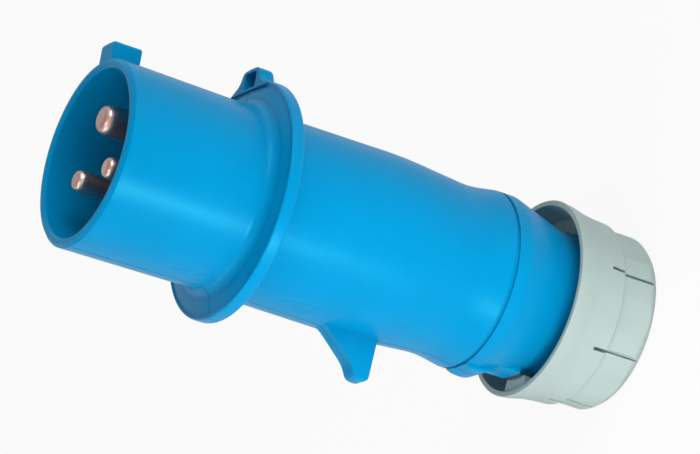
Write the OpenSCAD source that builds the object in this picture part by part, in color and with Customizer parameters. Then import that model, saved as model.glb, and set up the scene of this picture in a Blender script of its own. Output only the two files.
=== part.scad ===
// Industrial pin and sleeve plug: two power pins and an earth pin in a round sleeve,
// with a round handle and a cable gland. It stands on the gland nut, pins up.
// The axis is +Z, the rear face of the gland nut is z = 0, and the key is at +Y.

/* [Sleeve] */
// Outer diameter of the sleeve at its front rim
sleeve_d = 43.5; // [43:0.1:45]
// Outer diameter of the sleeve where it meets the flange
sleeve_root_d = 42.5; // [42:0.1:43.5]
// Length of the sleeve in front of the flange
sleeve_len = 35.8; // [32:0.2:40]
// Wall of the sleeve
sleeve_wall = 2.3; // [1.8:0.1:2.8]
// Depth of the space round the pins, from the rim to its floor
cavity_depth = 38; // [36:0.5:40]
// Radius of the hollow fillet between sleeve and flange
cove_r = 2.5; // [1:0.5:4]
// Rounding of the front rim
rim_round = 0.8; // [0.2:0.1:1]

/* [Key] */
// Width of the key on the front rim
key_w = 6; // [5:0.5:9]
// Length of the key along the sleeve
key_len = 7; // [3:0.1:8]
// Height of the key above the sleeve
key_h = 4; // [2:0.1:4.5]
// Distance of the key behind the front rim
key_back = 0.5; // [0:0.1:2]

/* [Flange] */
// Diameter of the flange
flange_d = 55.6; // [53:0.2:60]
// Thickness of the flange
flange_t = 3.7; // [3:0.1:5]
// Width of the catch lug on the flange
lug_w = 9; // [8:0.5:16]
// Height of the catch lug above the flange
lug_h = 3.2; // [2.4:0.1:4]
// Wall round the hollow in the lug's front
lug_pocket_wall = 1; // [0.8:0.1:1.4]
// Depth of the hollow in the lug's front
lug_pocket_h = 2.4; // [1:0.1:2.6]

/* [Pins] */
// Diameter of the circle that the pins stand on
pin_circle_d = 17.2; // [16.4:0.1:18]
// Diameter of the earth pin
earth_pin_d = 7; // [6:0.5:7]
// Diameter of the line and neutral pins
power_pin_d = 5; // [4:0.5:6]
// Distance of the pin tips behind the rim
pin_recess = 2; // [0.5:0.5:6]
// Diameter of the terminal barrels behind the pins
barrel_d = 8.4; // [8:0.1:9]
// Length of the terminal barrels
barrel_len = 14.5; // [13:0.5:17]
// Diameter of the wire holes in the barrels
wire_hole_d = 4.4; // [4.2:0.1:4.6]
// Thread diameter of the terminal screws
terminal_screw_d = 4; // [3:0.5:4]
// Height of the collars round the pins on the cavity floor
collar_h = 1.6; // [0.5:0.1:3]

/* [Contact carrier] */
// Extra radius of the pins' shanks where they stand in the carrier
shank_step = 0.3; // [0.2:0.1:0.6]
// Width of the ledge that the carrier seats behind
ledge_w = 2.1; // [1.5:0.1:2.5]
// Length of the carrier's nose in the ledge
nose_len = 7.5; // [6:0.5:9]
// Thickness of the carrier's seat flange
seat_t = 4; // [3:0.5:5]
// Thickness of the walls between the terminals
barrier_t = 1.4; // [1:0.1:2]
// Thickness of the rear plate that holds the terminals
plate_t = 2.5; // [2:0.5:4]
// Thread diameter of the two screws of the rear plate
plate_screw_d = 2.5; // [2:0.5:3]

/* [Handle] */
// Outer diameter of the handle behind the flange
handle_d = 42.4; // [41.6:0.1:43.4]
// Growth of the handle's radius up to where its taper starts
swell_h = 0.2; // [0:0.1:0.8]
// Drop of the handle's radius down to its waist
waist_drop = 1.4; // [0.4:0.1:2]
// Height of the rear lip above the waist
lip_h = 1.2; // [0.6:0.1:2]
// Length of the handle from the flange to the start of its taper
grip_len = 33.5; // [31:0.5:40]
// Length of the taper down to the waist
taper_len = 18.5; // [14:0.5:24]
// Length of the flare from the waist up to the lip
flare_len = 7; // [5:0.5:10]
// Length of the rear lip
lip_len = 5; // [3:0.5:7]
// Wall of the handle
handle_wall = 2.5; // [2.3:0.1:2.8]
// Width of the ring groove in front of the lip
ring_groove_w = 0.9; // [0.4:0.1:1.5]
// Depth of the ring groove
ring_groove_h = 0.6; // [0.2:0.1:0.9]

/* [Fin] */
// Reach of the fin from the axis
fin_reach = 31.4; // [28:0.2:36]
// Thickness of the fin
fin_t = 4.4; // [3:0.2:6]
// Distance of the fin's back face behind the flange
fin_back = 38; // [34:0.5:44]
// Length of the fin where it meets the handle
fin_len = 13.5; // [10:0.5:18]
// Length of the fin at its tip
fin_tip_len = 3.3; // [2.5:0.1:6]

/* [Rear boss] */
// Width of the boss across the rear lip
boss_w = 9; // [6:0.5:14]
// Height of the boss above the lip
boss_h = 0.6; // [0.3:0.1:2.5]
// Radius of the boss's rounded back
boss_r = 6.5; // [5:0.5:9]
// Width of the rib between the boss and the gland nut
rib_w = 8; // [5:0.5:9]
// Height of the rib above the neck
rib_h = 2; // [1.2:0.1:2.4]
// Gap between the rib and the mouth of the gland nut
rib_gap = 0.8; // [0.6:0.1:1.5]

/* [Bayonet] */
// Depth that the housing's collar reaches into the handle
collar_len = 14; // [12:0.5:18]
// Height of the bayonet lugs on the collar
bayonet_h = 0.9; // [0.6:0.1:1.1]
// Length of the bayonet lugs along the collar
bayonet_len = 2.5; // [2:0.1:3]
// Wall of the collar
collar_wall = 2; // [1.8:0.1:2.4]
// Thickness of the sealing ring on the collar
gasket_d = 1.8; // [1.4:0.1:2]

/* [Neck] */
// Outer diameter of the threaded neck, over its thread
neck_d = 34; // [33:0.2:35]
// Length of the threaded neck
neck_len = 13; // [12:0.5:16]
// Length of the cone between neck and lip
cone_len = 12.5; // [9:0.5:16]
// Diameter of the bore that takes the clamp cage
cage_bore_d = 27.8; // [27.4:0.1:28.4]
// Depth of that bore
cage_bore_len = 11; // [10:0.5:12]

/* [Gland] */
// Bore of the sealing sleeve, which the cable passes through
seal_bore_d = 13; // [10:0.5:15]
// Wall of the clamp cage
cage_wall = 2.5; // [2:0.1:3]
// Length of the cage's fingers behind the neck
finger_len = 3.8; // [3:0.2:5]
// Number of fingers of the clamp cage
fingers = 8; // [6:1:10]
// Width of the slots between the fingers
slot_w = 1.6; // [1:0.1:2.4]
// Thickness of the thrust ring
ring_t = 1.2; // [0.8:0.1:2]

/* [Gland nut] */
// Length of the gland nut
nut_len = 22.5; // [21:0.5:24]
// Diameter of the nut's grip
nut_grip_d = 41.4; // [40.6:0.2:43]
// Number of pads round the grip
nut_pads = 7; // [6:1:10]
// Depth of the flat in the middle of each pad
pad_flat = 0.4; // [0.1:0.1:0.6]
// Length of the grip
nut_grip_len = 9.5; // [8:0.5:11]
// Width of the slits between the pads
slit_w = 0.8; // [0.4:0.1:1.2]
// Depth of the slits
slit_h = 0.8; // [0.3:0.1:1]
// Length of the slits
slit_len = 13.5; // [8:0.5:15]
// Outer diameter of the skirt where the grip ends
skirt_d = 43.4; // [43:0.2:46]
// Outer diameter of the skirt at its mouth
mouth_d = 46.8; // [45:0.2:50]
// Wall of the skirt
skirt_wall = 1.3; // [1:0.1:1.8]
// Thickness of the nut's rear face
nut_face_t = 3; // [2.5:0.1:4]
// Diameter of the cable hole in the rear face
nut_hole_d = 17; // [16:0.5:18]
// Pitch of the gland thread
thread_pitch = 2; // [1.5:0.5:2]
// Turns from tight to the last hold of the thread
thread_turns = 3; // [2:1:3]
// Length of thread that still holds at the last turn
thread_hold = 1.5; // [1:0.5:2.5]

/* [Fits] */
// Radial gap between pieces that are fixed together
fit_gap = 0.1; // [0.05:0.05:0.2]
// Radial gap between pieces that turn or slide on each other
run_gap = 0.3; // [0.2:0.05:0.4]

/* [Hidden] */
$fn = 96;
cut = 1; // how far a cutting shape runs past the face that it cuts
round_over = 0.2; // how far a rounding shape clears the face that it leaves as it is

// Levels along the axis, from the nut's rear face to the rim
cage_z0 = nut_face_t + ring_t;
neck_z0 = cage_z0 + finger_len;
neck_z1 = neck_z0 + neck_len;
lip_z0 = neck_z1 + cone_len;
lip_z1 = lip_z0 + lip_len;
waist_z = lip_z1 + flare_len;
swell_z = waist_z + taper_len;
flange_z0 = swell_z + grip_len;
flange_z1 = flange_z0 + flange_t;
rim_z = flange_z1 + sleeve_len;
floor_z = rim_z - cavity_depth;
seat_z1 = floor_z - nose_len;
seat_z0 = seat_z1 - seat_t;
shoulder_t = 1.5; // of the pins, behind the carrier
barrel_z1 = seat_z0 - shoulder_t;
barrel_z0 = barrel_z1 - barrel_len;
collar_z0 = flange_z0 - collar_len;

// Radii that mating pieces share
sleeve_r = sleeve_d / 2;
cavity_r = sleeve_r - sleeve_wall;
flange_r = flange_d / 2;
handle_r = handle_d / 2;
handle_bore_r = handle_r - handle_wall;
swell_r = handle_r + swell_h;
waist_r = handle_r - waist_drop;
lip_r = waist_r + lip_h;
collar_r = handle_bore_r - fit_gap;
collar_bore_r = collar_r - collar_wall;
nose_r = collar_bore_r - ledge_w;
pin_circle_r = pin_circle_d / 2;
barrel_r = barrel_d / 2;
wire_r = wire_hole_d / 2;
neck_r = neck_d / 2;
rib_r = neck_r + rib_h;
nut_bore_r = neck_r + run_gap;
cage_bore_r = cage_bore_d / 2;
cage_r = cage_bore_r - fit_gap;
seal_r = cage_r - cage_wall - fit_gap;
stop_r = seal_r - 1.7; // bore of the shoulder that the sealing sleeve stops at
nut_thread_z1 = neck_z0 + thread_turns * thread_pitch + thread_hold;

// Outlines with rounded corners: each point is [x, y, how far its corner is cut back]
function xy(p) = [p[0], p[1]];
function part_way(a, b, t) = a + (b - a) * t;
function cut_back(p, q, d) = part_way(p, q, min(d / norm(q - p), 0.5));
function corner(a, b, c, d, steps) = [
    for (i = [0 : steps]) let (t = i / steps, p = cut_back(b, a, d), q = cut_back(b, c, d))
        part_way(part_way(p, b, t), part_way(b, q, t), t)
];
function rounded(points, steps = 6) = let (n = len(points)) [
    for (i = [0 : n - 1]) each (points[i][2] == undef || points[i][2] == 0)
        ? [xy(points[i])]
        : corner(xy(points[(i + n - 1) % n]), xy(points[i]), xy(points[(i + 1) % n]),
                 points[i][2], steps)
];

module revolved(points, steps = 6) rotate_extrude() polygon(rounded(points, steps));
// A bar along the axis with a rounded outline in the XY plane
module bar(points, z0, z1) translate([0, 0, z0]) linear_extrude(z1 - z0) polygon(rounded(points));
// A ring sector from radius r0 to r1, "sweep" degrees wide about the direction "at"
module sector(r0, r1, z0, z1, at, sweep)
    rotate([0, 0, at - sweep / 2]) rotate_extrude(angle = sweep)
        translate([r0, z0]) square([r1 - r0, z1 - z0]);

// ---- Front housing: sleeve, key, flange with catch lug, and the collar in the handle ----
bayonet_z0 = collar_z0 + 0.6;
bayonet_sweep = 22;
entry_sweep = bayonet_sweep + 4;
bayonet_turn = 60; // from the entry slots to the locked place
gasket_floor_r = handle_bore_r - gasket_d;
gasket_z = flange_z0 - 2.2;
hook_w = 0.7; // how far the snap hooks reach over the carrier's seat
hook_len = 1.2;
hook_sweep = 16;
KEYED = [30, 150, 270]; // directions of the bayonet lugs, the snap hooks and the walls between terminals

module housing_skin() {
    sleeve_root_r = sleeve_root_d / 2;
    cove = [for (a = [180 : 15 : 270])
        [sleeve_root_r + cove_r + cove_r * cos(a), flange_z1 + cove_r + cove_r * sin(a)]];
    rotate_extrude() polygon(concat(
        [[0, rim_z], [sleeve_r - rim_round, rim_z], [sleeve_r, rim_z - rim_round]],
        cove,
        rounded([
            [flange_r, flange_z1, 1.3], [flange_r, flange_z0, 0.8], [collar_r, flange_z0],
            [collar_r, collar_z0, 0.6], [0, collar_z0]
        ])
    ));
}

// A ring with rounded outer edges, which rounds the ends of what stands on the housing:
// back_edge and front_edge are how far each corner is cut back
module round_ends(r, z0, z1, back_edge, front_edge) revolved([
    [cavity_r + 1, z0], [r, z0, back_edge], [r, z1, front_edge], [cavity_r + 1, z1]
]);

module key() {
    key_z1 = rim_z - key_back;
    key_r = sleeve_r + key_h;
    intersection() {
        bar([[-key_w / 2, cavity_r], [-key_w / 2, key_r, 0.8], [key_w / 2, key_r, 0.8],
             [key_w / 2, cavity_r]], key_z1 - key_len - cut, key_z1 + cut);
        round_ends(key_r + round_over, key_z1 - key_len, key_z1, 0.9, 0.9);
    }
}

module catch_lug() {
    // its foot spreads along the rim, and its top is narrower and round
    foot_w = lug_w * 1.9;
    foot_y = sqrt(pow(flange_r - 0.8, 2) - pow(foot_w / 2, 2));
    top_w = lug_w * 0.8;
    top_r = flange_r + lug_h;
    intersection() {
        bar([[-foot_w / 2, foot_y], [-lug_w / 2, flange_r, 1.6], [-top_w / 2, top_r, 2.4],
             [top_w / 2, top_r, 2.4], [lug_w / 2, flange_r, 1.6], [foot_w / 2, foot_y]],
            flange_z0 - cut, flange_z1 + cut);
        round_ends(top_r + round_over, flange_z0, flange_z1, 2.4, 0.8);
    }
}

// The hollow in the lug's front, which keeps the moulding from sinking there
module lug_pocket() {
    side_x = lug_w * 0.42 - lug_pocket_wall;
    foot_y = flange_r - 1.6;
    top_y = flange_r + lug_h - lug_pocket_wall;
    bar([[-side_x, foot_y, 0.5], [-side_x, top_y, 1], [side_x, top_y, 1], [side_x, foot_y, 0.5]],
        flange_z1 - lug_pocket_h, flange_z1 + cut);
}

module front_housing() color("#0a86cf") {
    difference() {
        union() {
            difference() {
                union() {
                    housing_skin();
                    key();
                    catch_lug();
                }
                // the space round the pins, with a rounded rim
                revolved([[0, floor_z], [cavity_r, floor_z, 1], [cavity_r, rim_z - 0.6],
                          [cavity_r + 0.6, rim_z + 0.01], [0, rim_z + 0.01]]);
                lug_pocket();
                // the carrier's way in from behind
                translate([0, 0, collar_z0 - cut]) {
                    cylinder(r = nose_r, h = floor_z - collar_z0 + 2 * cut);
                    cylinder(r = collar_bore_r, h = seat_z1 - collar_z0 + cut);
                }
                // the groove of the sealing ring
                rotate_extrude() translate([gasket_floor_r, gasket_z - gasket_d / 2 - fit_gap])
                    square([gasket_d + cut, gasket_d + 2 * fit_gap]);
            }
            for (a = KEYED) {
                // snap hooks behind the carrier's seat
                sector(collar_bore_r - hook_w, collar_bore_r + 0.5, seat_z0 - hook_len, seat_z0,
                       a, hook_sweep);
                sector(collar_r - 0.5, collar_r + bayonet_h, bayonet_z0, bayonet_z0 + bayonet_len,
                       a, bayonet_sweep);
            }
        }
    }
}

// ---- Handle: one moulding from the flange to the threaded neck ----
module shell_skin() {
    revolved([
        [0, neck_z0], [neck_r, neck_z0, 0.6], [neck_r, neck_z1, 2],
        [lip_r - 0.3, lip_z0, 0.8], [lip_r, lip_z0 + 1, 0.5], [lip_r, lip_z1, 0.3],
        [waist_r, waist_z, 3.4], [swell_r, swell_z, 5], [handle_r, flange_z0], [0, flange_z0]
    ], 8);
}

module shell_bore() {
    stop_z = neck_z0 + cage_bore_len;
    revolved([
        [0, neck_z0 - cut], [cage_bore_r, neck_z0 - cut], [cage_bore_r, stop_z], [stop_r, stop_z],
        [stop_r, neck_z1 + 0.5], [neck_r - handle_wall, neck_z1 + 3, 1],
        [waist_r - handle_wall, lip_z0 + 1, 2], [waist_r - handle_wall, waist_z, 2],
        [handle_bore_r, swell_z, 4], [handle_bore_r, flange_z0 + cut], [0, flange_z0 + cut]
    ]);
}

// A bar along the axis on the -Y side, from root_y inside the body out to "reach", with round edges
module blade(width, root_y, reach, z0, z1, edge) bar(
    [[-width / 2, root_y], [-width / 2, -reach, edge], [width / 2, -reach, edge], [width / 2, root_y]],
    z0, z1
);

module fin() {
    back_z = flange_z0 - fin_back;
    tip_z = back_z + 0.7;
    root_y = -handle_r + handle_wall / 2;
    intersection() {
        rotate([90, 0, 90]) linear_extrude(fin_t + cut, center = true) polygon(rounded([
            [root_y, back_z], [-fin_reach, tip_z, 1.5], [-fin_reach, tip_z + fin_tip_len, 1.5],
            [-fin_reach + 3.4, tip_z + fin_tip_len + 1.7, 1.6], [-handle_r, back_z + fin_len, 3],
            [root_y, back_z + fin_len + 4]
        ]));
        blade(fin_t, root_y, fin_reach + round_over, back_z - cut, back_z + fin_len + 5, 1.3);
    }
}

// The boss on the lip, and the rib behind it that the tab of the gland nut meets when tight
module rear_boss() {
    boss_reach = lip_r + boss_h;
    intersection() {
        translate([0, boss_r - boss_reach, lip_z0 + 1]) rotate([0, 90, 0])
            cylinder(r = boss_r, h = boss_w + cut, center = true);
        blade(boss_w, 0, boss_reach + round_over, lip_z0 - boss_r, lip_z1 + boss_r, 1.4);
    }
    blade(rib_w, handle_wall - neck_r, rib_r, nut_len + rib_gap, lip_z0 + 1, 0.8);
}

module body_shell() color("#0a86cf") {
    difference() {
        union() {
            shell_skin();
            fin();
            rear_boss();
        }
        shell_bore();
        // ring groove in front of the lip
        rotate_extrude() translate([lip_r - ring_groove_h, lip_z1 - ring_groove_w])
            square([ring_groove_h + boss_h + cut, ring_groove_w]);
        // the bayonet: a ring to turn in, and three slots to enter by
        rotate_extrude() translate([handle_bore_r - cut, bayonet_z0 - fit_gap])
            square([bayonet_h + cut, bayonet_len + 2 * fit_gap]);
        for (a = KEYED)
            sector(handle_bore_r - cut, handle_bore_r + bayonet_h - fit_gap / 2,
                   bayonet_z0 + bayonet_len / 2, flange_z0 + cut, a + bayonet_turn, entry_sweep);
    }
}

module body_gasket() color("#1c1c1e")
    rotate_extrude() translate([handle_bore_r - gasket_d / 2, gasket_z]) circle(d = gasket_d);

// ---- Contacts: the carrier and what it holds ----
EARTH = 90;
LINE = 210;
NEUTRAL = 330;
collar_z1 = floor_z + collar_h;
post_r = plate_screw_d / 2 + 1.45; // posts of the rear plate's screws
post_circle_r = nose_r - post_r - 0.8;
post_angles = [30, 150];
pin_collar_w = 2; // wall of the collars round the pins
plate_z0 = barrel_z0 - plate_t;

module at_pin(angle) rotate([0, 0, angle]) translate([pin_circle_r, 0, 0]) children();

module contact_carrier() color("#0b6fb5") {
    difference() {
        union() {
            translate([0, 0, seat_z1]) cylinder(r = nose_r - fit_gap, h = nose_len);
            translate([0, 0, seat_z0]) cylinder(r = collar_bore_r - fit_gap, h = seat_t);
            for (p = [[EARTH, earth_pin_d], [LINE, power_pin_d], [NEUTRAL, power_pin_d]])
                at_pin(p[0]) translate([0, 0, floor_z - cut])
                    cylinder(d = p[1] + 2 * pin_collar_w, h = collar_z1 - floor_z + cut);
            for (a = KEYED)
                rotate([0, 0, a]) translate([0, -barrier_t / 2, barrel_z0])
                    cube([nose_r - barrier_t, barrier_t, seat_z0 - barrel_z0 + cut]);
            for (a = post_angles)
                rotate([0, 0, a]) translate([post_circle_r, 0, barrel_z0])
                    cylinder(r = post_r, h = seat_z0 - barrel_z0 + cut);
        }
        for (p = [[EARTH, earth_pin_d], [LINE, power_pin_d], [NEUTRAL, power_pin_d]])
            at_pin(p[0]) translate([0, 0, seat_z0 - cut])
                cylinder(d = p[1] + 2 * shank_step, h = collar_z1 - seat_z0 + 2 * cut);
        for (a = post_angles)
            rotate([0, 0, a]) translate([post_circle_r, 0, barrel_z0 - cut])
                cylinder(d = plate_screw_d, h = plate_screw_len + cut);
    }
}

// A turned pin: round tip, shank, shoulder behind the carrier, and the terminal barrel
screw_z = barrel_z0 + barrel_len * 0.35; // height of the terminal screws
wire_depth = barrel_len * 0.65;
guard_t = wire_hole_d * 0.12;
guard_w = wire_r;
guard_x = sqrt(pow(wire_r, 2) - pow(guard_w / 2, 2)) - guard_t - 0.2; // inner face of the guard
module pin(angle, d) color("#b98a52") at_pin(angle) difference() {
    revolved([
        [0, barrel_z0], [barrel_r, barrel_z0, 0.4], [barrel_r, barrel_z1],
        [barrel_r + 0.4, barrel_z1], [barrel_r + 0.4, seat_z0], [d / 2 + shank_step, seat_z0],
        [d / 2 + shank_step, collar_z1], [d / 2, collar_z1],
        [d / 2, rim_z - pin_recess, d * 0.4], [0, rim_z - pin_recess]
    ], 8);
    translate([0, 0, barrel_z0 - cut]) cylinder(r = wire_r, h = wire_depth + cut);
    translate([0, 0, screw_z]) rotate([0, 90, 0]) cylinder(d = terminal_screw_d, h = barrel_r + cut);
}
module earth_pin() pin(EARTH, earth_pin_d);
module line_pin() pin(LINE, power_pin_d);
module neutral_pin() pin(NEUTRAL, power_pin_d);

// A terminal screw, which comes in from outside and presses on the wire guard
head_z = barrel_r + 0.6; // underside of the terminal screws' heads, from the barrel's axis
head_t = terminal_screw_d * 0.55;
slot = terminal_screw_d * 0.25;
module terminal_screw(angle) color("#c9ccd0") at_pin(angle) translate([0, 0, screw_z])
    rotate([0, 90, 0]) difference() {
        union() {
            translate([0, 0, guard_x + guard_t])
                cylinder(d = terminal_screw_d, h = head_z + cut - guard_x - guard_t);
            translate([0, 0, head_z]) cylinder(d = terminal_screw_d * 1.55, h = head_t);
        }
        translate([-terminal_screw_d, -slot / 2, head_z + head_t * 0.55])
            cube([2 * terminal_screw_d, slot, head_t]);
    }
module earth_screw() terminal_screw(EARTH);
module line_screw() terminal_screw(LINE);
module neutral_screw() terminal_screw(NEUTRAL);

// The leaf between screw and wire
module wire_guard(angle) color("#d8c27a") at_pin(angle)
    translate([guard_x, -guard_w / 2, barrel_z0 + 1]) cube([guard_t, guard_w, wire_depth - 1.5]);
module earth_wire_guard() wire_guard(EARTH);
module line_wire_guard() wire_guard(LINE);
module neutral_wire_guard() wire_guard(NEUTRAL);

plate_screw_len = plate_screw_d * 3.2; // thread of the rear plate's screws in the posts
plate_head_t = plate_screw_d * 0.7;
module terminal_plate() color("#e4e2da") difference() {
    translate([0, 0, plate_z0]) cylinder(r = nose_r, h = plate_t);
    for (a = [EARTH, LINE, NEUTRAL])
        at_pin(a) translate([0, 0, plate_z0 - cut]) cylinder(r = wire_r + 0.3, h = plate_t + 2 * cut);
    for (a = post_angles)
        rotate([0, 0, a]) translate([post_circle_r, 0, plate_z0 - cut])
            cylinder(d = plate_screw_d, h = plate_t + 2 * cut);
}

module plate_screw(angle) color("#c9ccd0") rotate([0, 0, angle]) translate([post_circle_r, 0, 0])
    difference() {
        union() {
            translate([0, 0, plate_z0 - plate_head_t]) cylinder(d = plate_screw_d * 2, h = plate_head_t);
            translate([0, 0, plate_z0 - cut])
                cylinder(d = plate_screw_d, h = plate_t + plate_screw_len - 1 + cut);
        }
        translate([-plate_screw_d, -plate_screw_d * 0.16, plate_z0 - plate_head_t * 1.5])
            cube([2 * plate_screw_d, plate_screw_d * 0.32, plate_head_t]);
    }
module plate_screw_left() plate_screw(post_angles[1]);
module plate_screw_right() plate_screw(post_angles[0]);

// ---- Cable gland ----
cage_lip_t = 1.4; // end wall of the cage, behind the sealing sleeve
cage_lip_r = seal_r - 2.2;
cage_z1 = neck_z0 + cage_bore_len - 3;
slot_in = 5; // how far the slots between the fingers run into the neck
seal_z0 = cage_z0 + cage_lip_t;
seal_z1 = neck_z0 + cage_bore_len;

module clamp_cage() color("#e4e2da") difference() {
    revolved([
        [cage_lip_r, cage_z0], [cage_r, cage_z0, 0.8], [cage_r, cage_z1],
        [cage_r - cage_wall, cage_z1], [cage_r - cage_wall, seal_z0], [cage_lip_r, seal_z0]
    ]);
    for (i = [0 : fingers - 1])
        rotate([0, 0, i * 360 / fingers])
            translate([0, -slot_w / 2, cage_z0 - cut])
                cube([cage_r + cut, slot_w, finger_len + slot_in + cut]);
}

module sealing_sleeve() color("#1c1c1e") revolved([
    [seal_bore_d / 2, seal_z0, 0.6], [seal_r, seal_z0, 0.6], [seal_r, seal_z1, 0.6],
    [seal_bore_d / 2, seal_z1, 0.6]
]);

thrust_r = cage_r + 0.6;
module thrust_ring() color("#e4e2da") difference() {
    translate([0, 0, nut_face_t]) cylinder(r = thrust_r, h = ring_t);
    translate([0, 0, nut_face_t - cut]) cylinder(r = cage_lip_r, h = ring_t + 2 * cut);
}

// ---- Gland nut: a skirt round the neck and a grip with flats ----
slit_at = 17; // direction of the first slit
tab_len = 2;
tab_sweep = 22;
module nut_skin() {
    grip_r = nut_grip_d / 2;
    // the skirt, which opens in a bell from the grip's shoulder to the mouth
    revolved([
        [0, nut_grip_len - cut], [grip_r - 2, nut_grip_len - cut],
        [grip_r - 1, nut_grip_len], [skirt_d / 2, nut_grip_len + 0.4, 0.4],
        [skirt_d / 2 + 0.4, (nut_grip_len + nut_len) / 2, 3], [mouth_d / 2 - 0.3, nut_len - 2.5, 2],
        [mouth_d / 2, nut_len, 0.3], [0, nut_len]
    ]);
    // the grip: a round bar with one shallow flat on each pad
    intersection() {
        revolved([
            [0, 0], [grip_r - 1.4, 0, 0.6], [grip_r, 1.8, 0.8], [grip_r, nut_grip_len], [0, nut_grip_len]
        ]);
        rotate([0, 0, slit_at])
            cylinder(r = (grip_r - pad_flat) / cos(180 / nut_pads), h = nut_grip_len, $fn = nut_pads);
    }
}

module nut_body() difference() {
    nut_skin();
    revolved([
        [0, -cut], [nut_hole_d / 2, -cut], [nut_hole_d / 2, nut_face_t], [thrust_r + run_gap, nut_face_t],
        [thrust_r + run_gap, cage_z0 + 0.3], [nut_bore_r, cage_z0 + 2.8],
        [nut_bore_r, nut_thread_z1], [mouth_d / 2 - skirt_wall - 1.4, nut_thread_z1 + 0.8, 0.8],
        [mouth_d / 2 - skirt_wall, nut_len - 2, 2], [mouth_d / 2 - skirt_wall, nut_len + cut],
        [0, nut_len + cut]
    ]);
    for (i = [0 : nut_pads - 1])
        rotate([0, 0, slit_at + i * 360 / nut_pads])
            translate([nut_grip_d / 2 - slit_h, -slit_w / 2, -cut])
                cube([mouth_d / 2, slit_w, slit_len + cut]);
}

// The tab in the nut's mouth that stands behind the rib when the gland is tight
module nut_tab() sector(rib_r + run_gap, mouth_d / 2 - skirt_wall + 0.4, nut_len - tab_len - 0.4,
                        nut_len - 0.4, -90, tab_sweep);

module gland_nut() color("#b9c4c4") {
    nut_body();
    nut_tab();
}

front_housing();
body_shell();
body_gasket();
contact_carrier();
earth_pin();
line_pin();
neutral_pin();
earth_screw();
line_screw();
neutral_screw();
earth_wire_guard();
line_wire_guard();
neutral_wire_guard();
terminal_plate();
plate_screw_left();
plate_screw_right();
clamp_cage();
sealing_sleeve();
thrust_ring();
gland_nut();
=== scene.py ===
# %% [markdown]
# # An industrial pin and sleeve plug
#
# The plug is a moulded product: a blue front housing with the sleeve round the pins, a blue
# handle that ends in a threaded neck, and a light grey gland nut that grips the cable. It stands
# on its gland nut. The solids come from a CAD model, packed in one frame, so every piece already
# has its real size and place. In this lesson we give each of them a finish that tells what it is
# made of and how it was made, model the small pieces that the CAD model leaves out, and light and
# frame the whole as a product shot.

import math

import bpy
from mathutils import Matrix, Vector


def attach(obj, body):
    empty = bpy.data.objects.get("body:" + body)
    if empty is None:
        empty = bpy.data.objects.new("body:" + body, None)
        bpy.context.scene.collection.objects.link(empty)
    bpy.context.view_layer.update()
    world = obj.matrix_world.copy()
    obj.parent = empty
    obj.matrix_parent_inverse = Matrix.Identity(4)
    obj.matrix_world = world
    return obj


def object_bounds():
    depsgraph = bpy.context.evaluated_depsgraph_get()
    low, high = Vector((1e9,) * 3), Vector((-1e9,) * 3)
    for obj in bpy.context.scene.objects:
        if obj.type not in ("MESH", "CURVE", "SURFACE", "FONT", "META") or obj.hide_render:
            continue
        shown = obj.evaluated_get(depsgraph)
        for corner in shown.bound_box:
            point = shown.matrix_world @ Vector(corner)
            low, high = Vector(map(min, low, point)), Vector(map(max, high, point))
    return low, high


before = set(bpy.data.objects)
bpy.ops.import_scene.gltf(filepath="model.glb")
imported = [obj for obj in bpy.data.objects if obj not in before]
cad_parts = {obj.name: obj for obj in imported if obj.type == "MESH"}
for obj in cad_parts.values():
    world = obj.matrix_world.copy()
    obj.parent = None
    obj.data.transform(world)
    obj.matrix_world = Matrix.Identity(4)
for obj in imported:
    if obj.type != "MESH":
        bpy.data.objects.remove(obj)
CAD_LOW, CAD_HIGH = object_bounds()
print("CAD box in mm:", [round(v * 1000, 2) for v in (*CAD_LOW, *CAD_HIGH)])

# %% [markdown]
# ## Millimetres
#
# Blender works in metres here, while a moulder thinks in millimetres. One constant keeps the
# numbers below readable: write the size in millimetres and multiply it by `MM`.

# %% Millimetres
MM = 0.001
HEIGHT = CAD_HIGH.z - CAD_LOW.z
print("the plug stands", round(HEIGHT / MM, 1), "mm tall")

# %% [markdown]
# ## Colours and nodes
#
# A colour picked on a screen is an sRGB value, but the renderer calculates with linear light. One
# function turns a hex colour to linear. A material is a tree of nodes, and every node is added in
# the same way: make it, set its properties and its inputs, and link what feeds it. One small
# function does all of that, so that each material below reads as a short recipe.

# %% Colours and nodes
def linear(hex_colour):
    """An sRGB hex colour such as "#0096d3" as linear red, green, blue and alpha."""
    parts = [int(hex_colour[i:i + 2], 16) / 255 for i in (1, 3, 5)]
    red, green, blue = [c / 12.92 if c <= 0.04045 else ((c + 0.055) / 1.055) ** 2.4 for c in parts]
    return red, green, blue, 1.0


def add_node(tree, kind, inputs=None, **settings):
    """Adds a node. An input is a value, or a (node, output) pair to link."""
    node = tree.nodes.new(kind)
    for name, value in settings.items():
        setattr(node, name, value)
    for name, value in (inputs or {}).items():
        if isinstance(value, tuple) and isinstance(value[0], bpy.types.Node):
            tree.links.new(value[0].outputs[value[1]], node.inputs[name])
        else:
            node.inputs[name].default_value = value
    return node


print("linear blue:", [round(c, 3) for c in linear("#0096d3")])

# %% [markdown]
# ## A start for every finish
#
# All finishes here begin alike: a new material, an empty tree, a Principled BSDF with constant
# values for the kind of stuff it is, and the object's own coordinates for the patterns. The
# patterns are then plugged into colour, roughness and normal, each at the size it has on the real
# piece or a little above it. Four small functions do what all the finishes share: noise of a
# given size, a ramp between two colours, gloss that follows a pattern, and a fine relief.

# %% A start for every finish
NOISE_LOW, NOISE_HIGH = 0.3, 0.7    # nearly all values of a noise pattern lie between these


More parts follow.
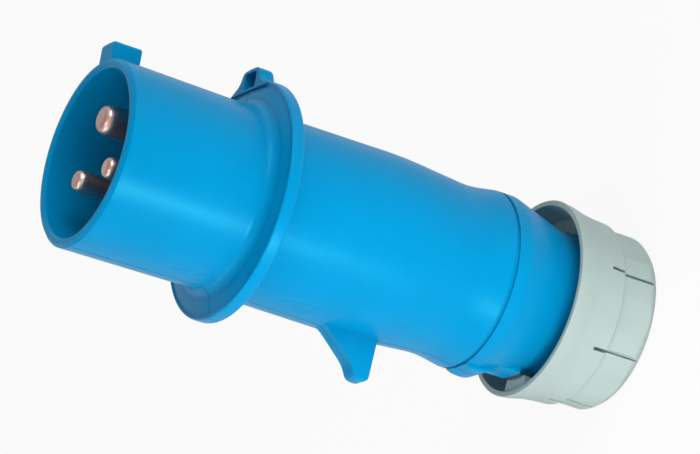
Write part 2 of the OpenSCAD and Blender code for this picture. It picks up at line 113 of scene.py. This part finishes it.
def start_finish(name, **principled):
    """A material with a Principled BSDF. Returns it with its tree, shader and coordinates."""
    material = bpy.data.materials.new(name)
    material.use_nodes = True
    tree = material.node_tree
    tree.nodes.clear()
    shader = add_node(tree, "ShaderNodeBsdfPrincipled",
                      {key.replace("_", " "): value for key, value in principled.items()})
    add_node(tree, "ShaderNodeOutputMaterial", {"Surface": (shader, "BSDF")})
    place = add_node(tree, "ShaderNodeTexCoord")
    return material, tree, shader, place


def per_mm(size_mm):
    """The scale at which one feature of a pattern is size_mm across."""
    return 1 / (size_mm * MM)


def link(tree, source, output, target, socket):
    tree.links.new(source.outputs[output], target.inputs[socket])


def noise(tree, coordinates, size_mm, **inputs):
    """Noise whose features are about size_mm across."""
    return add_node(tree, "ShaderNodeTexNoise",
                    {"Vector": coordinates, "Scale": per_mm(size_mm), **inputs})


def two_tone(tree, pattern, low_at, low, high_at, high):
    """A ramp over a pattern: the colour low up to low_at, and the colour high from high_at on."""
    ramp = add_node(tree, "ShaderNodeValToRGB", {"Fac": pattern})
    first, last = ramp.color_ramp.elements
    first.position, first.color = low_at, low
    last.position, last.color = high_at, high
    return ramp


def uneven_gloss(tree, shader, pattern, smooth, rough):
    """Lets the roughness follow a noise pattern, from smooth to rough."""
    gloss = add_node(tree, "ShaderNodeMapRange",
                     {"Value": pattern, "From Min": NOISE_LOW, "From Max": NOISE_HIGH,
                      "To Min": smooth, "To Max": rough})
    link(tree, gloss, "Result", shader, "Roughness")


def relief(tree, shader, height, strength, depth_mm, **inputs):
    """A relief too fine for the mesh, which only the light sees."""
    bump = add_node(tree, "ShaderNodeBump",
                    {"Height": height, "Strength": strength, "Distance": depth_mm * MM, **inputs})
    link(tree, bump, "Normal", shader, "Normal")

# %% [markdown]
# ## Moulded polyamide
#
# Housing, handle and gland nut are polyamide 6 with glass filler, injection-moulded in a
# spark-eroded tool. That gives a satin surface: a fine grain of less than two tenths of a
# millimetre, slightly uneven gloss where the melt cooled faster, and faint long flow marks along
# the way that the plastic filled the tool. The grain is drawn at 0.35 mm, about twice the real
# one, so that it still shows. Edges of a moulding are never sharp, so the Bevel node rounds the
# shading by 0.25 mm where two faces meet.

# %% Moulded polyamide
CLOUD_MM, FLOW_MM, GRAIN_MM = 30, 6, 0.35
FLOW_STRETCH = 0.12    # width of a flow mark as a share of its length
EDGE_MM = 0.25


def polyamide(name, colour, pale, rough, tint, level):
    """A glass-filled polyamide: clouds from colour to pale, and a gloss round rough."""
    material, tree, shader, place = start_finish(
        name, Metallic=0.0, IOR=1.53, Specular_IOR_Level=level, Specular_Tint=linear(tint))
    # colour: slow clouds where filler and pigment are less evenly mixed
    clouds = noise(tree, (place, "Object"), CLOUD_MM, Detail=4.0, Roughness=0.6)
    shade = two_tone(tree, (clouds, "Fac"), 0.25, linear(colour), 0.75, linear(pale))
    link(tree, shade, "Color", shader, "Base Color")
    # flow marks: noise drawn out along the axis, the way the melt ran
    stretch = add_node(tree, "ShaderNodeMapping",
                       {"Vector": (place, "Object"), "Scale": (1.0, 1.0, FLOW_STRETCH)})
    flow = noise(tree, (stretch, "Vector"), FLOW_MM, Detail=1.0)
    uneven_gloss(tree, shader, (flow, "Fac"), rough - 0.04, rough + 0.05)
    # grain of the tool, over edges that the mould rounds
    grain = noise(tree, (place, "Object"), GRAIN_MM, Detail=2.0)
    edge = add_node(tree, "ShaderNodeBevel", {"Radius": EDGE_MM * MM}, samples=6)
    relief(tree, shader, (grain, "Fac"), strength=0.12, depth_mm=0.02, Normal=(edge, "Normal"))
    return material


blue_polyamide = polyamide("blue_moulded_polyamide", "#0078a8", "#0080b4",
                           rough=0.30, tint="#58f4ff", level=0.18)
carrier_polyamide = polyamide("blue_carrier_polyamide", "#0a7ab4", "#0c84c0",
                              rough=0.46, tint="#48b8ff", level=0.16)
grey_polyamide = polyamide("light_grey_moulded_polyamide", "#8f9f9b", "#9aaaa7",
                           rough=0.45, tint="#ffffff", level=0.3)
white_polyamide = polyamide("natural_white_polyamide", "#d9d6ca", "#e4e2da",
                            rough=0.42, tint="#ffffff", level=0.4)
polyamides = (blue_polyamide, carrier_polyamide, grey_polyamide, white_polyamide)
print("polyamides:", [material.name for material in polyamides])

# %% [markdown]
# ## Turned brass
#
# The pins are turned from brass bar. The tool leaves fine rings round the axis, about 0.05 mm
# apart, which stretch the highlights. They are drawn far wider apart, so that they show. Handling
# leaves the brass slightly dull and warm, in patches of a few millimetres. The zinc-plated screws
# and the bronze leaves take the same recipe in their own colours.

# %% Turned brass
PATCH_MM = 4
WAVE_RADIANS = 20    # the wave texture runs through this angle in one unit of its scale


def turned_metal(name, colour, dull, rough, ring_mm):
    """A turned metal, dull in patches, with rings that lie 2 pi times ring_mm apart."""
    material, tree, shader, place = start_finish(name, Metallic=1.0)
    patches = noise(tree, (place, "Object"), PATCH_MM, Detail=5.0, Roughness=0.6)
    shade = two_tone(tree, (patches, "Fac"), 0.35, linear(colour), 0.7, linear(dull))
    link(tree, shade, "Color", shader, "Base Color")
    uneven_gloss(tree, shader, (patches, "Fac"), rough - 0.05, rough + 0.08)
    rings = add_node(tree, "ShaderNodeTexWave",
                     {"Vector": (place, "Object"), "Scale": per_mm(ring_mm) / WAVE_RADIANS,
                      "Distortion": 0.6, "Detail": 2.0},
                     wave_type="BANDS", bands_direction="Z")
    relief(tree, shader, (rings, "Fac"), strength=0.15, depth_mm=0.01)
    return material


pin_brass = turned_metal("turned_brass", "#f2d0c6", "#d6aa9c", rough=0.30, ring_mm=0.25)
zinc_steel = turned_metal("zinc_plated_steel", "#c6c9cc", "#a9adb2", rough=0.32, ring_mm=0.5)
spring_bronze = turned_metal("rolled_spring_bronze", "#c9a066", "#a98248", rough=0.30, ring_mm=0.4)
print("metals:", [material.name for material in (pin_brass, zinc_steel, spring_bronze)])

# %% [markdown]
# ## Rubber
#
# The sealing sleeve and the ring on the collar are moulded chloroprene rubber: nearly black, with
# no sharp highlight, and dusty with a pale bloom in patches.

# %% Rubber
BLOOM_MM, PORE_MM = 6, 0.4


def rubber(name):
    """A nearly black rubber with a pale bloom."""
    material, tree, shader, place = start_finish(
        name, Metallic=0.0, IOR=1.52, Specular_IOR_Level=0.4)
    bloom = noise(tree, (place, "Object"), BLOOM_MM, Detail=5.0, Roughness=0.65)
    shade = two_tone(tree, (bloom, "Fac"), 0.4, linear("#1a1a1c"), 0.8, linear("#2c2c2e"))
    link(tree, shade, "Color", shader, "Base Color")
    uneven_gloss(tree, shader, (bloom, "Fac"), 0.6, 0.75)
    pores = noise(tree, (place, "Object"), PORE_MM, Detail=2.0)
    relief(tree, shader, (pores, "Fac"), strength=0.2, depth_mm=0.02)
    return material


black_rubber = rubber("black_chloroprene_rubber")
print("rubber:", black_rubber.name)

# %% [markdown]
# ## Finish the CAD pieces
#
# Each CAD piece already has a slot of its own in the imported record. We look the slot up and put
# our finish in its place, so no piece can be forgotten.

# %% Finish the CAD pieces
FINISHES = {
    "blue_plastic": blue_polyamide,
    "carrier_plastic": carrier_polyamide,
    "grey_plastic": grey_polyamide,
    "white_plastic": white_polyamide,
    "pin_brass": pin_brass,
    "spring_bronze": spring_bronze,
    "zinc_steel": zinc_steel,
    "black_rubber": black_rubber,
}
for node_name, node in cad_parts.items():
    for material_slot in node.material_slots:
        slot_name = material_slot.material.name.split(".")[0]
        material_slot.material = FINISHES[slot_name]
        print(node_name, "->", material_slot.material.name)

# %% [markdown]
# ## Helpers for modelling
#
# Every added piece starts from a primitive or from a copy of a moulding, and is worked in edit
# mode. Small functions keep the recipes short: one bakes a new piece's place into its mesh, one
# selects vertices or faces by a rule, one applies a modifier, and one gives the finished piece
# its material and its body.

# %% Helpers for modelling
MERGE_MM = 0.002                   # corners closer than this are one
SMOOTH_BELOW = math.radians(30)    # edges flatter than this are shaded as one surface


def start_mesh(name):
    """Names the new active object, bakes its place into its mesh and enters edit mode."""
    piece = bpy.context.object
    piece.name = piece.data.name = name
    bpy.ops.object.transform_apply(location=True, rotation=True, scale=True)
    bpy.ops.object.mode_set(mode="EDIT")
    return piece


def pick(piece, rule, kind="VERT"):
    """Selects the vertices or faces for which rule(vertex or face) is true."""
    bpy.ops.mesh.select_mode(type=kind)
    bpy.ops.mesh.select_all(action="DESELECT")
    bpy.ops.object.mode_set(mode="OBJECT")
    parts = piece.data.vertices if kind == "VERT" else piece.data.polygons
    for part in parts:
        part.select = rule(part)
    bpy.ops.object.mode_set(mode="EDIT")


def apply_modifier(piece, kind, **settings):
    modifier = piece.modifiers.new(kind.lower(), kind)
    for name, value in settings.items():
        setattr(modifier, name, value)
    bpy.ops.object.modifier_apply(modifier=modifier.name)


def finish_piece(piece, material, body):
    """Gives a piece its finish, its smooth shading and the body that it moves with."""
    bpy.ops.object.mode_set(mode="EDIT")
    bpy.ops.mesh.select_all(action="SELECT")
    bpy.ops.mesh.remove_doubles(threshold=MERGE_MM * MM)
    bpy.ops.mesh.normals_make_consistent(inside=False)
    bpy.ops.object.mode_set(mode="OBJECT")
    bpy.ops.object.shade_smooth_by_angle(angle=SMOOTH_BELOW)
    piece.data.materials.clear()
    piece.data.materials.append(material)
    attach(piece, body)
    print(piece.name, "has", len(piece.data.polygons), "faces and rides with", body)

# %% [markdown]
# ## The gland thread
#
# The neck of the handle and the bore of the gland nut carry a 2 mm thread, moulded with them. The
# solids keep both faces smooth, 0.3 mm apart, and here each gets its ridge, low enough for that
# gap. A thread is one section swept round and up, which is what the Screw modifier does. The
# section is a plane whose outer edge is scaled down, so that the flanks slope. The nut's ridge
# lies half a pitch off the neck's. The plug rises by one pitch a turn, so the two ridges always
# stay between each other.

# %% The gland thread
PITCH_MM = 2.0
FOOT_MM, CREST_SHARE = 1.0, 0.45    # width of a ridge at its foot, and its crest as a share of that
TURN_STEPS = 72


def thread_ridge(name, root_mm, crest_mm, start_mm, turns):
    """A helical ridge from the radius root_mm to crest_mm, which starts at the height start_mm."""
    out = 1 if crest_mm > root_mm else -1
    middle = (root_mm + crest_mm) / 2 * MM
    bpy.ops.object.select_all(action="DESELECT")
    bpy.ops.mesh.primitive_plane_add(size=1, location=(middle, 0, start_mm * MM),
                                     rotation=(math.pi / 2, 0, 0))
    bpy.context.object.scale = (out * (crest_mm - root_mm) * MM, FOOT_MM * MM, 1)
    ridge = start_mesh(name)
    pick(ridge, lambda v: out * v.co.x > out * middle)
    bpy.ops.transform.resize(value=(1, 1, CREST_SHARE), center_override=(0, 0, start_mm * MM))
    bpy.ops.object.mode_set(mode="OBJECT")
    apply_modifier(ridge, "SCREW", axis="Z", angle=2 * math.pi, screw_offset=PITCH_MM * MM,
                   iterations=turns, steps=TURN_STEPS, render_steps=TURN_STEPS,
                   use_merge_vertices=False)
    return ridge


neck_thread = thread_ridge("neck_thread", root_mm=16.9, crest_mm=17.2, start_mm=9.0, turns=5)
finish_piece(neck_thread, blue_polyamide, "plug")
nut_thread = thread_ridge("nut_thread", root_mm=17.4, crest_mm=17.1, start_mm=8.0, turns=3)
finish_piece(nut_thread, grey_polyamide, "gland")

# %% [markdown]
# ## Parting lines
#
# Where the two halves of a mould meet, the melt creeps a few hundredths of a millimetre into the
# joint and leaves a fine raised line. On the handle and on the housing it runs along both sides,
# where the fin and the key stand. We take a copy of the moulding's own skin, merge it, cut it
# down to a strip 0.3 mm wide by bisection, keep only the faces that look outwards, and thicken
# the strip by 0.12 mm, half of which stands above the skin.

# %% Parting lines
SEAM_W_MM, SEAM_T_MM = 0.3, 0.12
SEAM_CLEAR_MM = 0.3    # nothing is drawn this close to the sides of the CAD box
SEAM_REACH = min(-CAD_LOW.y, CAD_HIGH.y) - SEAM_CLEAR_MM * MM
# the normal of an outward face has at least this much along Y, away from the axis
OUTWARDS = 0.05


def off_the_seam(face):
    """True for a face that looks inwards or along, and for one at the sides of the CAD box."""
    reach = abs(face.center.y)
    return face.normal.y * face.center.y < OUTWARDS * reach or reach > SEAM_REACH


def parting_line(name, moulding, low_mm, high_mm):
    """A fine ridge along both sides of a blue moulding, between two heights."""
    bpy.ops.object.select_all(action="DESELECT")
    seam = bpy.data.objects.new(name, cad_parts[moulding].data.copy())
    bpy.context.scene.collection.objects.link(seam)
    bpy.context.view_layer.objects.active = seam
    seam.select_set(True)
    start_mesh(name)
    bpy.ops.mesh.select_all(action="SELECT")
    bpy.ops.mesh.remove_doubles(threshold=MERGE_MM * MM)
    cuts = [((SEAM_W_MM / 2 * MM, 0, 0), (1, 0, 0)),
            ((-SEAM_W_MM / 2 * MM, 0, 0), (-1, 0, 0)),
            ((0, 0, high_mm * MM), (0, 0, 1)),
            ((0, 0, low_mm * MM), (0, 0, -1))]
    for point, outwards in cuts:
        bpy.ops.mesh.select_all(action="SELECT")
        bpy.ops.mesh.bisect(plane_co=point, plane_no=outwards, clear_outer=True)
    pick(seam, off_the_seam, "FACE")
    bpy.ops.mesh.delete(type="FACE")
    bpy.ops.object.mode_set(mode="OBJECT")
    apply_modifier(seam, "SOLIDIFY", thickness=SEAM_T_MM * MM, offset=0.0)
    finish_piece(seam, blue_polyamide, "plug")


parting_line("handle_parting_line", "body_shell", low_mm=22.0, high_mm=97.0)
parting_line("housing_parting_line", "front_housing", low_mm=98.0, high_mm=135.5)

# %% [markdown]
# ## Ejector marks
#
# Round steel pins push a moulding off its core, and each leaves a flat disc with a fine rim round
# it. The housing has six on the back of its flange. One is modelled: a thin cylinder whose outer
# face is inset and pushed in, which leaves the rim. The others are copies with a mesh of their
# own, turned about the axis.

# %% Ejector marks
MARKS, MARK_D_MM, MARK_H_MM = 6, 2.8, 0.08
MARK_RING_MM = 24.6
MARK_RIM_MM, MARK_SLOPE_MM = 0.2, 0.03
MARK_SUNK = 0.7        # how deep the disc lies inside its rim, as a share of the mark's height
FIRST_MARK_AT = math.radians(-35)
FLANGE_BACK = 97.5 * MM

bpy.ops.object.select_all(action="DESELECT")
bpy.ops.mesh.primitive_cylinder_add(
    vertices=48, radius=MARK_D_MM / 2 * MM, depth=4 * MARK_H_MM * MM,
    location=(MARK_RING_MM * MM, 0, FLANGE_BACK + MARK_H_MM * MM))
first_mark = start_mesh("ejector_mark_1")
pick(first_mark, lambda f: f.normal.z < -0.9, "FACE")
bpy.ops.mesh.inset(thickness=MARK_RIM_MM * MM, depth=0)
bpy.ops.mesh.inset(thickness=MARK_SLOPE_MM * MM, depth=-MARK_H_MM * MARK_SUNK * MM)
bpy.ops.mesh.select_all(action="SELECT")
bpy.ops.transform.rotate(value=FIRST_MARK_AT, orient_axis="Z", center_override=(0, 0, 0))
finish_piece(first_mark, blue_polyamide, "plug")
for i in range(1, MARKS):
    mark = first_mark.copy()
    mark.data = first_mark.data.copy()
    mark.name = mark.data.name = f"ejector_mark_{i + 1}"
    mark.data.transform(Matrix.Rotation(i * 2 * math.pi / MARKS, 4, "Z"))
    bpy.context.scene.collection.objects.link(mark)
    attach(mark, "plug")
print(MARKS, "ejector marks on a ring of", MARK_RING_MM, "mm radius")

# %% [markdown]
# ## Floor
#
# The plug stands on a plain light board. To the lamps the board is matt and light grey. To the
# camera most of what it shows is an even white glow, so that it comes out nearly as white as the
# background, while the soft shadow under the plug stays. A small function tells the camera's own
# rays from all the others, and the light below needs it again.

# %% Floor
FLOOR_RADIUS, GLOW_SHARE = 3.0, 0.9
WHITE = (1, 1, 1, 1)


def seen_by_camera(tree):
    """1 for rays from the camera, also through something clear, and 0 for all others."""
    rays = add_node(tree, "ShaderNodeLightPath")
    return add_node(tree, "ShaderNodeMath",
                    {0: (rays, "Is Camera Ray"), 1: (rays, "Is Transmission Ray")},
                    operation="MAXIMUM")


bpy.ops.object.select_all(action="DESELECT")
bpy.ops.mesh.primitive_circle_add(vertices=96, radius=FLOOR_RADIUS, fill_type="NGON",
                                  location=(0, 0, CAD_LOW.z))
floor = bpy.context.object
floor.name = "floor"
floor_paint, tree, board, _ = start_finish("white_floor_board", Metallic=0.0, Roughness=0.9,
                                           Base_Color=linear("#dadada"))
glow = add_node(tree, "ShaderNodeEmission", {"Color": WHITE, "Strength": 1.0})
share = add_node(tree, "ShaderNodeMath", {0: (seen_by_camera(tree), "Value"), 1: GLOW_SHARE},
                 operation="MULTIPLY")
mixed = add_node(tree, "ShaderNodeMixShader",
                 {0: (share, "Value"), 1: (board, "BSDF"), 2: (glow, "Emission")})
output = [node for node in tree.nodes if node.type == "OUTPUT_MATERIAL"][0]
link(tree, mixed, "Shader", output, "Surface")
floor.data.materials.append(floor_paint)
print(floor.name, "is", 2 * FLOOR_RADIUS, "m across, in", floor_paint.name)

# %% [markdown]
# ## Light
#
# A light tent gives most of the light: bright walls and a darker top, so that faces that look
# straight up come out deeper than the flanks. The world does that with a ramp over the height of
# the ray. The side of the tent away from the camera is hung with a darker cloth, which deepens
# the edges of the round body where they turn away. The camera itself sees plain white behind the
# plug. One function gives the direction to a place at two angles, for the tent, the lamps and the
# camera.

# %% World
VIEW_AZIMUTH, VIEW_ELEVATION = -18.69, 25.27    # degrees, from +X and from the floor
# over the height of a ray: white up to WALL_TO, and the shade of the top from TOP_FROM on
WALL_TO, TOP_FROM, TOP_SHADE = 0.1, 0.8, 0.42
# towards the camera's side: the cloth up to CLOTH_TO, and the lit side from LIT_FROM on
CLOTH_TO, CLOTH_STRENGTH = -0.8, 0.65
LIT_FROM, LIT_STRENGTH = 0.1, 1.1


def direction(azimuth, elevation):
    """The unit vector towards a place at these angles in degrees."""
    a, e = math.radians(azimuth), math.radians(elevation)
    return Vector((math.cos(e) * math.cos(a), math.cos(e) * math.sin(a), math.sin(e)))


world = bpy.data.worlds.new("light_tent")
bpy.context.scene.world = world
world.use_nodes = True
tree = world.node_tree
tree.nodes.clear()
ray = add_node(tree, "ShaderNodeTexCoord")
height = add_node(tree, "ShaderNodeSeparateXYZ", {"Vector": (ray, "Generated")})
tent = two_tone(tree, (height, "Z"), WALL_TO, WHITE, TOP_FROM, (TOP_SHADE,) * 3 + (1,))
# how far a ray looks towards the camera's side of the tent
side = add_node(tree, "ShaderNodeVectorMath",
                {0: (ray, "Generated"), 1: tuple(direction(VIEW_AZIMUTH, 0))},
                operation="DOT_PRODUCT")
cloth = add_node(tree, "ShaderNodeMapRange",
                 {"Value": (side, "Value"), "From Min": CLOTH_TO, "From Max": LIT_FROM,
                  "To Min": CLOTH_STRENGTH, "To Max": LIT_STRENGTH})
tent_light = add_node(tree, "ShaderNodeBackground",
                      {"Color": (tent, "Color"), "Strength": (cloth, "Result")})
backdrop = add_node(tree, "ShaderNodeBackground", {"Color": WHITE, "Strength": 1.0})
sky = add_node(tree, "ShaderNodeMixShader",
               {0: (seen_by_camera(tree), "Value"), 1: (tent_light, "Background"),
                2: (backdrop, "Background")})
add_node(tree, "ShaderNodeOutputWorld", {"Surface": (sky, "Shader")})
print(world.name, "has", len(tree.nodes), "nodes")

# %% [markdown]
# ## Lamps
#
# Four soft lamps model the plug in the tent. The side lamp and the top lamp stand on the fin's
# side, the fill lamp, the strongest, opens the key's side, and the band lamp is a small one, low
# and near, that gives the broad soft band along the body. All look at the middle of the plug.

# %% Lamps
# name, azimuth and elevation in degrees, distance, width and height in metres, power in watts
LAMPS = [
    ("side_lamp", -96, 12, 1.0, 0.6, 0.6, 1.9),
    ("top_lamp", -62, 52, 1.0, 0.4, 0.4, 1.3),
    ("fill_lamp", 44, 18, 1.0, 0.6, 0.6, 5.2),
    ("band_lamp", -43, -3, 0.25, 0.05, 0.105, 0.46),
]
for name, azimuth, elevation, distance, width, tall, power in LAMPS:
    data = bpy.data.lights.new(name, "AREA")
    data.shape, data.size, data.size_y, data.energy = "RECTANGLE", width, tall, power
    lamp = bpy.data.objects.new(name, data)
    bpy.context.scene.collection.objects.link(lamp)
    way = direction(azimuth, elevation)
    lamp.location = Vector((0, 0, HEIGHT / 2)) + way * distance
    lamp.rotation_euler = way.to_track_quat("Z", "Y").to_euler()
print("lamps:", [lamp[0] for lamp in LAMPS])

# %% [markdown]
# ## Camera
#
# A long lens from about a metre keeps the cylinder's sides nearly parallel, as in a catalogue.
# The camera looks down on the plug by some 25 degrees and is rolled, so that the standing plug
# seems to lie across the frame with its pins to the left. Rotation is built from the three axes
# of the view.

# %% Camera
VIEW_ROLL = math.radians(-71.63)
DISTANCE = 1.0945
LENS, SENSOR = 251.0, 36.0
NEAREST, FARTHEST = 0.05, 20.0
RIGHT_SHIFT, UP_SHIFT = -0.99 * MM, 3.12 * MM

toward = direction(VIEW_AZIMUTH, VIEW_ELEVATION)
level = Vector((0, 0, 1)).cross(toward).normalized()
upright = toward.cross(level)
right = math.cos(VIEW_ROLL) * level + math.sin(VIEW_ROLL) * upright
up = -math.sin(VIEW_ROLL) * level + math.cos(VIEW_ROLL) * upright
camera_data = bpy.data.cameras.new("camera")
camera_data.lens, camera_data.sensor_width = LENS, SENSOR
camera_data.clip_start, camera_data.clip_end = NEAREST, FARTHEST
camera = bpy.data.objects.new("camera", camera_data)
bpy.context.scene.collection.objects.link(camera)
middle = Vector((0, 0, CAD_LOW.z + HEIGHT / 2))
spot = middle + DISTANCE * toward + RIGHT_SHIFT * right + UP_SHIFT * up
camera.matrix_world = Matrix.Translation(spot) @ Matrix((right, up, toward)).transposed().to_4x4()
bpy.context.scene.camera = camera
bpy.context.scene.view_settings.view_transform = "Standard"
print("camera at", [round(v, 3) for v in spot])
